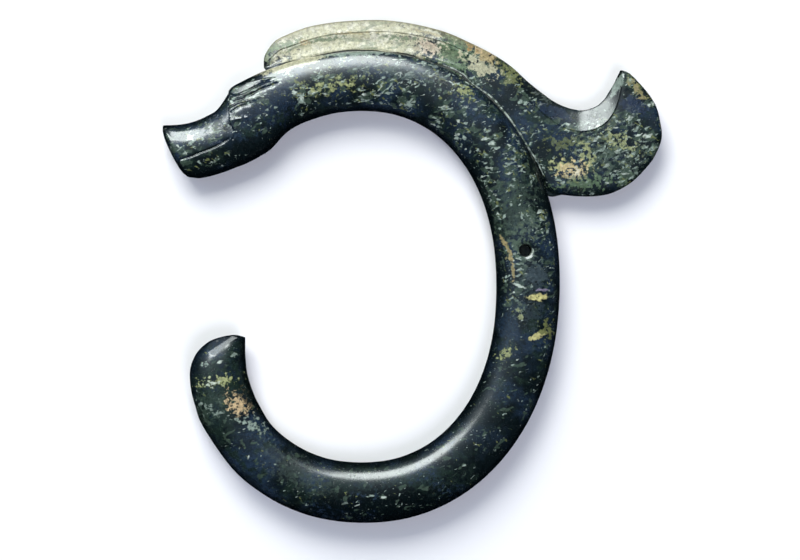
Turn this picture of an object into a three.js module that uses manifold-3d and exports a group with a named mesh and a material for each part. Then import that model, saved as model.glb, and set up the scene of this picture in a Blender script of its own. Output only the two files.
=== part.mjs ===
// A coiled dragon carved from one piece of jade, lying on its side.
// Millimetres. +X runs from the snout to the curl of the mane, +Y to the top of the mane, +Z is up.

import * as THREE from 'three';
import { LoftGeometry } from 'three/addons/geometries/LoftGeometry.js';
import { mergeVertices } from 'three/addons/utils/BufferGeometryUtils.js';
import Module from 'manifold-3d';

const wasm = await Module();
wasm.setup();

// Driving sizes
const height = 260;               // from the belly to the top of the mane
const bodyThickness = 24.6;       // through the coil, from flank to flank
const snoutThickness = 20;        // across the nose
const noseBulge = 2.8;            // how far the nose stands out of its rim
const maneRootThickness = 6.4;    // the mane where it leaves the back
const maneRidgeThickness = 5;     // at the line inside its rim
const maneChannelThickness = 3.8; // at the bottom of its channel
const maneEdgeThickness = 0.9;    // its sharp rim
const maneRootDepth = 6;          // how far the mane's root reaches into the body
const curlThickness = 7;          // at the thickest part of the curl
const boreMouth = 9.2;            // the hole at both faces
const boreWaist = 6.2;            // the hole halfway through
const restFlatDepth = 0.15;       // ground off the lower flank, so that the coil lies still
const eyeLength = 25;             // the eye is a long leaf, pointed at both ends
const eyeWidth = 5.6;
const eyeRelief = 1.1;            // how far it stands out of the face
const mouthWidth = 1.8;           // the cut line of the closed mouth
const mouthDepth = 0.9;
const nostrilWidth = 4;
const nostrilDepth = 1.8;
const nostrilSpacing = 8.5;
const tailFacetDepth = 2.6;       // ground off both flanks at the tail's tip

// How finely the round forms are cut
const sectionSides = 32;
const ribSteps = 2;
const coilRibCount = 18;
const boreSides = 24;
const eyeSides = 12;
const eyeSteps = 10;
const mouthSteps = 10;

const { degToRad, lerp } = THREE.MathUtils;

// The free form is drawn in thousandths of the height, about the middle of the whole outline
const share = height / 1000;
const shares = (x, y) => new THREE.Vector2(x, y).multiplyScalar(share);

// A rib is a cut across the form between two points of its outline, with the sizes of the cut
const rib = (start, end, ...sizes) => ({ start: shares(...start), end: shares(...end), sizes });

// Smooth curves through the ribs' points, and even ramps of their sizes, give the ribs in between
function refine(ribs) {
  const startCurve = new THREE.SplineCurve(ribs.map(({ start }) => start));
  const endCurve = new THREE.SplineCurve(ribs.map(({ end }) => end));
  const count = (ribs.length - 1) * ribSteps;
  return Array.from({ length: count + 1 }, (_, index) => {
    const below = Math.min(Math.floor(index / ribSteps), ribs.length - 2);
    const within = index / ribSteps - below;
    return {
      start: startCurve.getPoint(index / count),
      end: endCurve.getPoint(index / count),
      sizes: ribs[below].sizes.map((size, place) => lerp(size, ribs[below + 1].sizes[place], within)),
    };
  });
}

// The coil lies between two squarish ovals, its back and its belly
const coilBack = { x: -95, y: -31, halfWidth: 388, halfHeight: 469, squareness: 2.13, tilt: degToRad(-1.6) };
const coilBelly = { x: -102, y: -30, halfWidth: 269, halfHeight: 350, squareness: 2.19, tilt: 0 };

const power = (value, exponent) => Math.sign(value) * Math.abs(value) ** exponent;

function ovalPoint({ x, y, halfWidth, halfHeight, squareness, tilt }, angle) {
  const point = new THREE.Vector2(
    halfWidth * power(Math.cos(angle), 2 / squareness),
    halfHeight * power(Math.sin(angle), 2 / squareness),
  );
  point.rotateAround(new THREE.Vector2(), tilt).add(new THREE.Vector2(x, y));
  return point.multiplyScalar(share);
}

// It runs from behind the head, over the back and the belly, to the tail
const coilStart = degToRad(100);
const coilEnd = degToRad(-130);

const coilRibs = Array.from({ length: coilRibCount }, (_, index) => {
  const angle = lerp(coilStart, coilEnd, index / (coilRibCount - 1));
  return { start: ovalPoint(coilBack, angle), end: ovalPoint(coilBelly, angle), sizes: [bodyThickness] };
});

// The face widens from the nose, at 0, to the full body, at 1
const faceThickness = fraction => lerp(snoutThickness, bodyThickness, fraction);

// The ribs of the head run from its upper outline to the jaw
const headRibs = [
  rib([-496, 291], [-445, 188], faceThickness(0)),
  rib([-473, 292], [-436, 187], faceThickness(0.1)),
  rib([-454, 294], [-425, 186], faceThickness(0.2)),
  rib([-431, 300], [-411, 188], faceThickness(0.3)),
  rib([-409, 310], [-395, 192], faceThickness(0.45)),
  rib([-391, 321], [-379, 197], faceThickness(0.6)),
  rib([-377, 340], [-365, 202], faceThickness(0.75)),
  rib([-365, 361], [-350, 208], faceThickness(0.9)),
  rib([-355, 370], [-334, 214], faceThickness(0.96)),
  rib([-334, 381], [-310, 226], bodyThickness),
  rib([-308, 393], [-282, 244], bodyThickness),
  rib([-288, 401], [-256, 272], bodyThickness),
  rib([-264, 409], [-236, 287], bodyThickness),
  rib([-232, 419], [-208, 300], bodyThickness),
];

// The ribs of the tail fan out from the corner at its tip
const tailRibs = [
  rib([-417, -308], [-308, -261], bodyThickness),
  rib([-433, -265], [-317, -241], bodyThickness),
  rib([-441, -233], [-324, -222], bodyThickness),
  rib([-443, -201], [-330, -199], 0.98 * bodyThickness),
  rib([-437, -176], [-332, -179], 0.94 * bodyThickness),
  rib([-425, -156], [-333, -163], 0.87 * bodyThickness),
  rib([-405, -139], [-333, -150], 0.76 * bodyThickness),
  rib([-381, -130], [-333, -141], 0.61 * bodyThickness),
  rib([-357, -126], [-333, -135], 0.42 * bodyThickness),
  rib([-340, -128], [-333, -132], 0.18 * bodyThickness),
];

// The flanks are a little fuller than a plain oval's
const flankFullness = 2.35;

function bodySection({ start, end, sizes: [thickness] }) {
  const middle = start.clone().lerp(end, 0.5);
  const reach = start.clone().sub(middle);
  return Array.from({ length: sectionSides }, (_, index) => {
    const angle = 2 * Math.PI * index / sectionSides;
    const across = power(Math.cos(angle), 2 / flankFullness);
    const up = power(Math.sin(angle), 2 / flankFullness);
    const point = middle.clone().addScaledVector(reach, across);
    return new THREE.Vector3(point.x, point.y, up * thickness / 2);
  });
}

// The nose is a low dome over the first rib, in steps of size and of reach
const noseRim = headRibs[0];
const noseChord = noseRim.start.clone().sub(noseRim.end).normalize();
const noseForward = new THREE.Vector2(-noseChord.y, noseChord.x);
const noseDome = [[0.35, 1], [0.62, 0.92], [0.86, 0.62]];

const noseRibs = noseDome.map(([size, reach]) => {
  const middle = noseRim.start.clone().lerp(noseRim.end, 0.5);
  const shrink = point => point.clone().sub(middle).multiplyScalar(size).add(middle)
    .addScaledVector(noseForward, noseBulge * reach);
  return { start: shrink(noseRim.start), end: shrink(noseRim.end), sizes: [snoutThickness * size] };
});

// The mane is a flat blade. Its ribs run from its sharp rim to the coil's back, and in the curl at its
// end from the hollow side to the round side. Their sizes are the width of the bevel inside the rim, in
// thousandths of the height, and how far the far side is rooted in the body, from 0 to 1.
const maneRibs = [
  rib([-296, 407], [-290, 400], 1, 1),
  rib([-296, 421], [-278, 403], 8, 1),
  rib([-292, 435], [-264, 409], 14, 1),
  rib([-276, 457], [-244, 415], 20, 1),
  rib([-256, 469], [-226, 420], 23, 1),
  rib([-212, 486], [-192, 428], 24, 1),
  rib([-167, 495], [-154, 435], 24, 1),
  rib([-114, 500], [-110, 439], 24, 1),
  rib([-66, 501], [-68, 438], 23, 1),
  rib([-21, 497], [-31, 433], 22, 1),
  rib([26, 488], [9, 424], 21, 1),
  rib([71, 475], [47, 412], 21, 1),
  rib([114, 456], [85, 399], 21, 1),
  rib([156, 435], [119, 373], 22, 1),
  rib([196, 409], [155, 339], 25, 1),
  rib([231, 377], [193, 290], 29, 1),
  rib([268, 348], [229, 242], 34, 1),
  rib([288, 335], [250, 206], 37, 1),
  rib([310, 326], [272, 162], 40, 0.5),
  rib([322, 323], [300, 153], 41, 0),
  rib([333, 321], [330, 150], 41, 0),
  rib([345, 322], [362, 150], 41, 0),
  rib([356, 325], [396, 156], 39, 0),
  rib([367, 330], [434, 176], 36, 0),
  rib([376, 337], [464, 205], 32, 0),
  rib([384, 346], [483, 231], 28, 0),
  rib([390, 356], [496, 266], 24, 0),
  rib([396, 366], [493, 298], 20, 0),
  rib([402, 376], [484, 331], 16, 0),
  rib([407, 387], [464, 361], 11, 0),
  rib([412, 397], [434, 393], 5, 0),
  rib([413, 399], [417, 400], 1, 0),
];

// Ribs shorter than this, in thousandths of the height, thin out towards the blade's two ends
const fullManeWidth = 50;

// Across a rib: the sharp edge, the ridge inside the bevel, the channel, its rise to the root, and the far
// side, which in the curl is another sharp edge
function maneSection({ start, end, sizes: [bevel, rooted] }) {
  const width = start.distanceTo(end);
  const inward = end.clone().sub(start).divideScalar(width);
  const taper = Math.min(1, Math.sqrt(width / (fullManeWidth * share)));
  const half = (blade, curl) => taper * lerp(curl, blade, rooted) / 2;
  const ridge = Math.min(bevel * share, 0.45 * width);
  const profile = [
    [0, maneEdgeThickness / 2],
    [ridge, half(maneRidgeThickness, curlThickness)],
    [lerp(ridge, width, 0.35), half(maneChannelThickness, curlThickness)],
    [lerp(ridge, width, 0.7), half(maneChannelThickness, 0.8 * curlThickness)],
    [0.93 * width, half(maneRootThickness, 0.4 * curlThickness)],
    [width + maneRootDepth * rooted, half(maneRootThickness, maneEdgeThickness)],
  ];
  const upper = profile.map(([distance, halfThickness]) => {
    const point = start.clone().addScaledVector(inward, distance);
    return new THREE.Vector3(point.x, point.y, halfThickness);
  });
  const lower = upper.map(({ x, y, z }) => new THREE.Vector3(x, y, -z)).reverse();
  return [...upper, ...lower];
}

// The hole is bored from both faces, so it narrows to a waist halfway
function makeBore() {
  const mouthRadius = boreMouth / 2;
  const waistRadius = boreWaist / 2;
  const flareRadius = 2 * mouthRadius - waistRadius;
  const profile = [
    new THREE.Vector2(0, -bodyThickness),
    new THREE.Vector2(flareRadius, -bodyThickness),
    new THREE.Vector2(waistRadius, 0),
    new THREE.Vector2(flareRadius, bodyThickness),
    new THREE.Vector2(0, bodyThickness),
  ];
  const place = shares(225, 42);
  return new THREE.LatheGeometry(profile, boreSides).rotateX(Math.PI / 2).translate(place.x, place.y, 0);
}

// The eye is a spindle on the shoulder of the face, sunk until only its relief stands out
function makeEye(side) {
  const front = shares(-354, 353);
  const rear = shares(-262, 382);
  const shoulder = 0.38 * bodyThickness;
  const radius = eyeWidth / 2;
  const sunk = (radius - eyeRelief) * Math.SQRT1_2;
  const bulge = Array.from({ length: eyeSteps - 1 }, (_, index) => {
    const along = (index + 1) / eyeSteps;
    return new THREE.Vector2(radius * Math.sin(Math.PI * along), (along - 0.5) * eyeLength);
  });
  const profile = [new THREE.Vector2(0, -eyeLength / 2), ...bulge, new THREE.Vector2(0, eyeLength / 2)];
  const middle = front.clone().lerp(rear, 0.5);
  return new THREE.LatheGeometry(profile, eyeSides)
    .rotateZ(rear.clone().sub(front).angle() - Math.PI / 2)
    .translate(middle.x, middle.y, side * (shoulder - sunk));
}

// The mouth is a cut with sloping sides along the flank of the face, from behind the nose to below the eye
const mouthLine = [[-460, 220, 0.1], [-440, 226, 0.2], [-420, 233, 0.3], [-399, 240, 0.45], [-362, 255, 0.85]];
const mouthFlank = 0.97;

function makeMouth(side) {
  const path = new THREE.CatmullRomCurve3(mouthLine.map(([x, y, fraction]) => {
    const point = shares(x, y);
    return new THREE.Vector3(point.x, point.y, side * mouthFlank * faceThickness(fraction) / 2);
  }));
  const cut = new THREE.Shape([
    new THREE.Vector2(-mouthDepth, 0),
    new THREE.Vector2(0, -mouthWidth / 2),
    new THREE.Vector2(mouthDepth, 0),
    new THREE.Vector2(0, mouthWidth / 2),
  ]);
  return new THREE.ExtrudeGeometry(cut, { steps: mouthSteps, bevelEnabled: false, extrudePath: path });
}

// Two round pits lie side by side in the nose
function makeNostril(side) {
  const place = noseRim.start.clone().lerp(noseRim.end, 0.42).addScaledVector(noseForward, noseBulge);
  return new THREE.CylinderGeometry(nostrilWidth / 2, nostrilWidth / 2, 2 * nostrilDepth, eyeSides)
    .rotateZ(noseForward.angle() - Math.PI / 2)
    .translate(place.x, place.y, side * nostrilSpacing / 2);
}

// A slanting facet on each flank blunts the tail's tip
function makeTailFacet(side) {
  const place = shares(-382, -138);
  const towardsTip = degToRad(128);
  const slant = degToRad(48);
  const size = bodyThickness;
  return new THREE.BoxGeometry(2 * size, 2 * size, size)
    .translate(0, 0, side * size / 2)
    .rotateY(side * slant)
    .rotateZ(towardsTip)
    .translate(place.x, place.y, side * (0.36 * bodyThickness - tailFacetDepth / 2));
}

// The coil is ground flat where it lies
function makeRestCut() {
  const size = 2 * height;
  return new THREE.BoxGeometry(size, size, size).translate(0, 0, restFlatDepth - (size + bodyThickness) / 2);
}

function solid(geometry) {
  const bare = new THREE.BufferGeometry();
  bare.setAttribute('position', geometry.getAttribute('position'));
  bare.setIndex(geometry.getIndex());
  const merged = mergeVertices(bare);
  return new wasm.Manifold(new wasm.Mesh({
    numProp: 3,
    vertProperties: new Float32Array(merged.getAttribute('position').array),
    triVerts: new Uint32Array(merged.getIndex().array),
  }));
}

const loft = sections => new LoftGeometry(sections, { capStart: true, capEnd: true });

function carveDragon() {
  const bodyRibs = [...noseRibs, ...refine([...headRibs, ...coilRibs, ...tailRibs])];
  const body = solid(loft(bodyRibs.map(bodySection)));
  const mane = solid(loft(refine(maneRibs).map(maneSection)));
  let dragon = body.add(mane);
  for (const side of [-1, 1]) {
    dragon = dragon.add(solid(makeEye(side)));
    dragon = dragon.subtract(solid(makeMouth(side)));
    dragon = dragon.subtract(solid(makeNostril(side)));
    dragon = dragon.subtract(solid(makeTailFacet(side)));
  }
  return dragon.subtract(solid(makeBore())).subtract(solid(makeRestCut()));
}

// The origin is under the middle of the whole outline, on the surface that the dragon lies on
function settledGeometry(dragon) {
  const { vertProperties, triVerts } = dragon.getMesh();
  const geometry = new THREE.BufferGeometry();
  geometry.setAttribute('position', new THREE.BufferAttribute(vertProperties, 3));
  geometry.setIndex(new THREE.BufferAttribute(triVerts, 1));
  geometry.computeBoundingBox();
  const { min, max } = geometry.boundingBox;
  geometry.translate(-(min.x + max.x) / 2, -(min.y + max.y) / 2, -min.z);
  geometry.computeVertexNormals();
  return geometry;
}

const jade = new THREE.MeshStandardMaterial({ color: 0x2f4a3c, roughness: 0.28, metalness: 0 });
const jadeDragon = new THREE.Mesh(settledGeometry(carveDragon()), jade);
jadeDragon.name = 'jade_dragon';

const group = new THREE.Group();
group.add(jadeDragon);

export default group;
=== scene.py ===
# A coiled dragon carved from dark green jade, lying on a pale floor and seen from straight above.
# Metres, in the CAD frame: +X from the snout to the curl, +Y to the top of the mane, +Z up.

import math

import bmesh
import bpy
import numpy as np
from mathutils import Matrix, Vector


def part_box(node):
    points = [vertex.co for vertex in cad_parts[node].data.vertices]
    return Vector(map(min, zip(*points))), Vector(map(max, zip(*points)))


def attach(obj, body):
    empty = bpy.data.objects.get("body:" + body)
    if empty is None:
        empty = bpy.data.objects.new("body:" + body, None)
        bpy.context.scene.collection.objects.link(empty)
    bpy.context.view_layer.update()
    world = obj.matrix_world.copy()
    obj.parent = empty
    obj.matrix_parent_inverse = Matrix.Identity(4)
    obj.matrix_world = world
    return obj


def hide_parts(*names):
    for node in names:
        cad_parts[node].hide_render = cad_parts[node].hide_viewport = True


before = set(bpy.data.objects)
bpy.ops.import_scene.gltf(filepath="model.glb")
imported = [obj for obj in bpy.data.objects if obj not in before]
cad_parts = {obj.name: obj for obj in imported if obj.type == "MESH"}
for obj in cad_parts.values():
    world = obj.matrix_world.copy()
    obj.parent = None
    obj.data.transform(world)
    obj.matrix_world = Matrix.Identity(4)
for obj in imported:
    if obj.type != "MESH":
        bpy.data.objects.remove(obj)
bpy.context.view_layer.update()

MM = 0.001
dragon_low, dragon_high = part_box("jade_dragon")
HEIGHT = dragon_high.y - dragon_low.y

# Thicknesses, as in the solid
BODY_THICKNESS = 24.6 * MM
SNOUT_THICKNESS = 20 * MM
NOSE_BULGE = 2.8 * MM
REST_FLAT_DEPTH = 0.15 * MM
BORE_MOUTH = 9.2 * MM
BORE_WAIST = 6.2 * MM
MIDDLE_Z = BODY_THICKNESS / 2 - REST_FLAT_DEPTH

# The free form is drawn in thousandths of the height
SHARE = HEIGHT / 1000

# The finishes of the stone, in the order of the materials
BODY_FINISH, MANE_FINISH, CUT_FINISH, EDGE_FINISH = range(4)


# Curves

CURVE_SAMPLES = 40


def smooth_curve(points, places):
    """Points of the smooth curve through the given ones, at places counted in points."""
    points = np.asarray(points, float)
    last = len(points) - 1
    below = np.clip(np.floor(places).astype(int), 0, last - 1)
    t = (places - below)[:, None]
    before = points[np.maximum(below - 1, 0)]
    start = points[below]
    end = points[below + 1]
    after = points[np.minimum(below + 2, last)]
    return 0.5 * (
        2 * start
        + (end - before) * t
        + (2 * before - 5 * start + 4 * end - after) * t**2
        + (3 * start - before - 3 * end + after) * t**3
    )


def even_places(points, spacing, columns):
    """Places on a smooth curve that lie about a spacing apart; the spacing is a column of its own."""
    places = np.linspace(0, len(points) - 1, CURVE_SAMPLES * len(points))
    curve = smooth_curve(points, places)
    steps = [np.linalg.norm(np.diff(curve[:, pair], axis=0), axis=1) for pair in columns]
    crowd = np.max(steps, axis=0) / np.interp((places[1:] + places[:-1]) / 2, range(len(points)), spacing)
    sums = np.concatenate([[0], np.cumsum(crowd)])
    return np.interp(np.linspace(0, sums[-1], int(round(sums[-1])) + 1), sums, places)


def signed_power(value, exponent):
    return np.sign(value) * np.abs(value) ** exponent


def ease(low, high, value):
    """0 below low, 1 above high, and a smooth step between."""
    t = np.clip((value - low) / (high - low), 0, 1)
    return t * t * (3 - 2 * t)


# The body's ribs: back x and y, belly x and y, and the thickness as a share of the way from the
# snout's, 0, to the coil's, 1

HEAD_RIBS = [
    (-496, 291, -445, 188, 0),
    (-473, 292, -436, 187, 0.1),
    (-454, 294, -425, 186, 0.2),
    (-431, 300, -411, 188, 0.3),
    (-409, 310, -395, 192, 0.45),
    (-391, 321, -379, 197, 0.6),
    (-377, 340, -365, 202, 0.72),
    (-365, 361, -350, 208, 0.9),
    (-355, 370, -334, 214, 0.98),
    (-334, 381, -310, 226, 1),
    (-308, 393, -282, 244, 1),
    (-288, 401, -256, 272, 1),
    (-264, 409, -236, 287, 1),
    (-232, 419, -208, 300, 1),
]
TAIL_RIBS = [
    (-417, -308, -308, -261, 1),
    (-433, -265, -317, -241, 1),
    (-441, -233, -324, -222, 1),
    (-443, -201, -330, -199, 0.9),
    (-437, -176, -332, -179, 0.68),
    (-425, -156, -333, -163, 0.3),
    (-405, -139, -333, -150, -0.28),
    (-381, -130, -333, -141, -1.09),
    (-357, -126, -333, -135, -2.1),
    (-342, -128, -333, -131, -3.6),
]
COIL_BACK = {"x": -95, "y": -31, "half_width": 388, "half_height": 469, "squareness": 2.13, "tilt": -1.6}
COIL_BELLY = {"x": -102, "y": -30, "half_width": 269, "half_height": 350, "squareness": 2.19, "tilt": 0}
COIL_START = 100
COIL_END = -130
COIL_RIBS = 24


def oval(x, y, half_width, half_height, squareness, tilt, angles):
    """Points of a squarish oval."""
    across = half_width * signed_power(np.cos(angles), 2 / squareness)
    up = half_height * signed_power(np.sin(angles), 2 / squareness)
    turn = math.radians(tilt)
    return np.column_stack([
        x + across * math.cos(turn) - up * math.sin(turn),
        y + across * math.sin(turn) + up * math.cos(turn),
    ])


def body_ribs():
    angles = np.radians(np.linspace(COIL_START, COIL_END, COIL_RIBS))
    coil = np.column_stack([
        oval(**COIL_BACK, angles=angles), oval(**COIL_BELLY, angles=angles), np.ones(COIL_RIBS)])
    return np.vstack([HEAD_RIBS, coil, TAIL_RIBS])


# The mane's ribs: rim x and y, far side x and y, the width of the bevel inside the rim, how far the far
# side is rooted in the body, and how far the blade has turned into the curl

MANE_RIBS = [
    (-296, 406, -291, 400, 1, 1, 0),
    (-296, 421, -278, 403, 8, 1, 0),
    (-292, 435, -264, 409, 14, 1, 0),
    (-276, 457, -244, 415, 20, 1, 0),
    (-256, 469, -226, 420, 24, 1, 0),
    (-212, 486, -192, 428, 25, 1, 0),
    (-167, 495, -154, 435, 24, 1, 0),
    (-114, 500, -110, 439, 24, 1, 0),
    (-66, 501, -68, 438, 23, 1, 0),
    (-21, 497, -31, 433, 22, 1, 0),
    (26, 488, 9, 424, 21, 1, 0),
    (71, 475, 47, 412, 20, 1, 0),
    (114, 456, 85, 399, 20, 1, 0.1),
    (156, 435, 119, 373, 20, 1, 0.3),
    (196, 409, 155, 339, 22, 1, 0.6),
    (231, 377, 193, 290, 26, 1, 0.85),
    (268, 348, 229, 242, 32, 1, 1),
    (288, 335, 250, 206, 36, 1, 1),
    (310, 326, 272, 162, 40, 0.5, 1),
    (322, 323, 300, 153, 42, 0, 1),
    (333, 321, 330, 150, 43, 0, 1),
    (345, 322, 362, 150, 43, 0, 1),
    (356, 325, 396, 156, 42, 0, 1),
    (367, 330, 434, 176, 39, 0, 1),
    (376, 337, 464, 205, 34, 0, 1),
    (384, 346, 483, 231, 29, 0, 1),
    (390, 356, 496, 266, 24, 0, 1),
    (396, 366, 493, 298, 19, 0, 1),
    (402, 376, 484, 331, 14, 0, 1),
    (407, 387, 464, 361, 9, 0, 1),
    (412, 397, 434, 393, 4, 0, 1),
    (413, 400, 416, 401, 1, 0, 1),
]


# Meshing

def grid_points(bm, rows, columns):
    """Makes a grid of rows by columns, and gives its vertices' places in it, each from 0 to 1."""
    bmesh.ops.create_grid(bm, x_segments=rows, y_segments=columns, size=0.5)
    spots = np.array([vert.co for vert in bm.verts])
    return spots[:, 0] + 0.5, spots[:, 1] + 0.5


def place_points(bm, places):
    for vert, place in zip(bm.verts, places):
        vert.co = place


def close_skin(bm):
    """Closes the seam and the two ends of a grid that was bent into a tube."""
    bmesh.ops.remove_doubles(bm, verts=bm.verts, dist=0.002 * MM)
    bmesh.ops.holes_fill(bm, edges=[edge for edge in bm.edges if edge.is_boundary])
    bmesh.ops.recalc_face_normals(bm, faces=bm.faces)


BODY_SIDES = 120
HEAD_SPACING = 0.75
COIL_SPACING = 2.4
TAIL_SPACING = 1
FLANK_FULLNESS = 2.35
SHOULDER_FULLNESS = 2.2

# The ribs between which the body's shoulder fills out under the mane, and between which that ends
SHOULDER_START = (8.5, 11.5)
SHOULDER_END = (21, 17)

# The nose is a low dome: the size of each ring, and how far it bulges
NOSE_DOME = [(1, 0), (0.95, 0.22), (0.82, 0.58), (0.6, 0.84), (0.3, 0.97), (0, 1)]


def body_places():
    """Places of the body's rings, counted in ribs. The nose's rings lie below 0, and one ends the tail."""
    ribs = body_ribs()
    spacing = np.full(len(ribs), COIL_SPACING)
    spacing[:len(HEAD_RIBS)] = HEAD_SPACING
    spacing[-len(TAIL_RIBS):] = TAIL_SPACING
    places = even_places(ribs, spacing * MM / SHARE, ([0, 1], [2, 3]))
    nose = -np.arange(1, len(NOSE_DOME))[::-1]
    return np.concatenate([nose, places, [len(ribs)]])


def body_spots(place, around):
    """Spots on the body's skin, at places counted in ribs and at shares of the way around it."""
    ribs = body_ribs()
    rib = smooth_curve(ribs, np.clip(place, 0, len(ribs) - 1))
    back = rib[:, 0:2] * SHARE
    belly = rib[:, 2:4] * SHARE
    thickness = SNOUT_THICKNESS + (BODY_THICKNESS - SNOUT_THICKNESS) * rib[:, 4]
    sizes, bulges = np.transpose(NOSE_DOME)
    size = np.interp(-place, range(len(sizes)), sizes) * np.clip(len(ribs) - place, 0, 1)
    bulge = np.interp(-place, range(len(bulges)), bulges) * NOSE_BULGE
    chord = ribs[0, 0:2] - ribs[0, 2:4]
    forward = np.array([-chord[1], chord[0]]) / np.linalg.norm(chord)
    angle = 2 * np.pi * around
    under_mane = ease(*SHOULDER_START, place) * ease(*SHOULDER_END, place)
    power = 2 / (FLANK_FULLNESS + SHOULDER_FULLNESS * under_mane * np.clip(np.cos(angle), 0, 1) ** 2)
    across = size * signed_power(np.cos(angle), power)
    up = size * signed_power(np.sin(angle), power) * thickness / 2
    plan = (back + belly) / 2 + (back - belly) / 2 * across[:, None] + forward * bulge[:, None]
    return np.column_stack([plan, up])


def make_body():
    """The body's skin: a sheet, divided finer where the face is carved, and bent round into a tube."""
    rings = body_places()
    bm = bmesh.new()
    bmesh.ops.create_grid(bm, x_segments=len(rings) - 1, y_segments=BODY_SIDES, size=0.5)
    for _ in range(FACE_DIVISIONS):
        spots = bend_sheet(bm, rings)
        fine = near_strokes(spots)
        edges = [edge for edge in bm.edges if all(fine[vert.index] for vert in edge.verts)]
        bmesh.ops.subdivide_edges(bm, edges=edges, cuts=1, use_grid_fill=True)
    place_points(bm, bend_sheet(bm, rings))
    close_skin(bm)
    carve_face(bm)
    return bm


def bend_sheet(bm, rings):
    """Where the points of a flat sheet lie once it is bent round into the body's skin."""
    bm.verts.index_update()
    sheet = np.array([vert.co[:2] for vert in bm.verts]) + 0.5
    place = np.interp(sheet[:, 0] * (len(rings) - 1), range(len(rings)), rings)
    return body_spots(place, sheet[:, 1])


# The face, the same on both flanks

EYE_TOP = [(-364, 353), (-352, 365), (-324, 377), (-299, 382), (-266, 386)]
EYE_BOTTOM = [(-364, 353), (-357, 348), (-343, 351), (-320, 361), (-300, 371), (-284, 378), (-266, 386)]
SNOUT_FACET_TOP = [(-487, 282), (-467, 276), (-443, 279), (-417, 285)]
SNOUT_FACET_BOTTOM = [(-487, 278), (-477, 263), (-453, 260), (-433, 262), (-417, 266)]
CHEEK_FRONT = [(-366, 361), (-364, 345), (-364, 325), (-361, 297), (-352, 270)]

# Each stroke of the carving: its line, its width in millimetres and how far it rises, or sinks where
# that is negative
FACE_STROKES = [
    ([(-466, 219), (-439, 227), (-423, 234), (-403, 241), (-387, 248), (-373, 256), (-360, 264)],
     0.42, -0.6),
    ([(-362, 349), (-343, 348), (-320, 357), (-300, 367), (-280, 376)], 0.38, -0.6),
    ([(-362, 341), (-334, 349), (-300, 365), (-264, 379)], 0.42, 0.45),
    ([(-360, 336), (-334, 342), (-306, 357), (-262, 374)], 0.4, -0.5),
    ([(-363, 323), (-343, 334), (-316, 340), (-301, 346)], 0.42, 0.35),
    ([(-361, 313), (-343, 325), (-318, 332)], 0.45, -0.4),
    ([(-362, 298), (-341, 302), (-320, 305)], 0.4, 0.3),
    ([(-361, 292), (-355, 282), (-351, 272), (-356, 259)], 0.4, -0.35),
]
EYE_RELIEF = 0.5 * MM
EYE_SLOPE = 1.2 * MM
EYE_LOWER_RIM = 0.5 * MM
EYE_UPPER_RIM = 1.1 * MM
SNOUT_FACET_DEPTH = 0.27 * MM
CHEEK_STEP = 0.7 * MM
CHEEK_RUN = 5 * MM
CHEEK_SHARPNESS = 0.35 * MM
FACE_END = -250
FACE_DIVISIONS = 2
STROKE_ZONE = 1.2 * MM
SNOUT_FACET_FADE = 4 * MM
SNOUT_FACET_WIDTH = 4 * MM
LINE_SAMPLES = 16


def nearest(plan, line):
    """How far each place lies from a smooth line, how far along it, from 0 to 1, and on which side."""
    curve = smooth_curve(line, np.linspace(0, len(line) - 1, LINE_SAMPLES * len(line))) * SHARE
    gaps = plan[:, None] - curve[None]
    closest = np.linalg.norm(gaps, axis=2).argmin(1)
    gap = gaps[np.arange(len(plan)), closest]
    heading = np.gradient(curve, axis=0)[closest]
    step = np.linalg.norm(heading, axis=1)
    across = (heading[:, 0] * gap[:, 1] - heading[:, 1] * gap[:, 0]) / step
    beyond = np.maximum(np.abs((heading * gap).sum(1)) / step - step, 0)
    return np.hypot(across, beyond), closest / (len(curve) - 1), np.sign(across)


def between(plan, bottom, top):
    """Where each place lies between two lines, from 0 to 1, and how far apart they are there."""
    bottom = np.array(bottom) * SHARE
    top = np.array(top) * SHARE
    low = np.interp(plan[:, 0], bottom[:, 0], bottom[:, 1])
    gap = np.interp(plan[:, 0], top[:, 0], top[:, 1]) - low
    beyond = (plan[:, 0] < bottom[0, 0]) | (plan[:, 0] > bottom[-1, 0])
    return np.where(beyond | (gap <= 0), -1, (plan[:, 1] - low) / np.maximum(gap, 0.01 * MM)), gap


def face_relief(plan):
    """How far each place on the face stands out of the plain form."""
    lift = np.zeros(len(plan))
    distance, along, side = nearest(plan, CHEEK_FRONT)
    ends = ease(0, 0.12, along) * ease(1, 0.8, along)
    in_front = ease(CHEEK_SHARPNESS, -CHEEK_SHARPNESS, side * distance)
    lift -= CHEEK_STEP * in_front * np.exp(-distance / CHEEK_RUN) * ends
    share, gap = between(plan, EYE_BOTTOM, EYE_TOP)
    rim = np.minimum(ease(0, EYE_LOWER_RIM, share * gap), ease(0, EYE_UPPER_RIM, (1 - share) * gap))
    lift += np.where((share > 0) & (share < 1), (EYE_RELIEF + EYE_SLOPE * share ** 2) * rim, 0)
    share, gap = between(plan, SNOUT_FACET_BOTTOM, SNOUT_FACET_TOP)
    share = np.clip(share, 0, 1)
    back_end = np.array(SNOUT_FACET_TOP)[-1, 0] * SHARE
    fade = ease(back_end, back_end - SNOUT_FACET_FADE, plan[:, 0]) * np.clip(gap / SNOUT_FACET_WIDTH, 0, 1)
    lift -= SNOUT_FACET_DEPTH * 4 * share * (1 - share) * fade
    for line, width, rise in FACE_STROKES:
        distance, along, _ = nearest(plan, line)
        ends = ease(0, 0.1, along) * ease(1, 0.9, along)
        lift += rise * MM * np.exp(-(distance / (width * MM)) ** 2) * ends
    return lift


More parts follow.
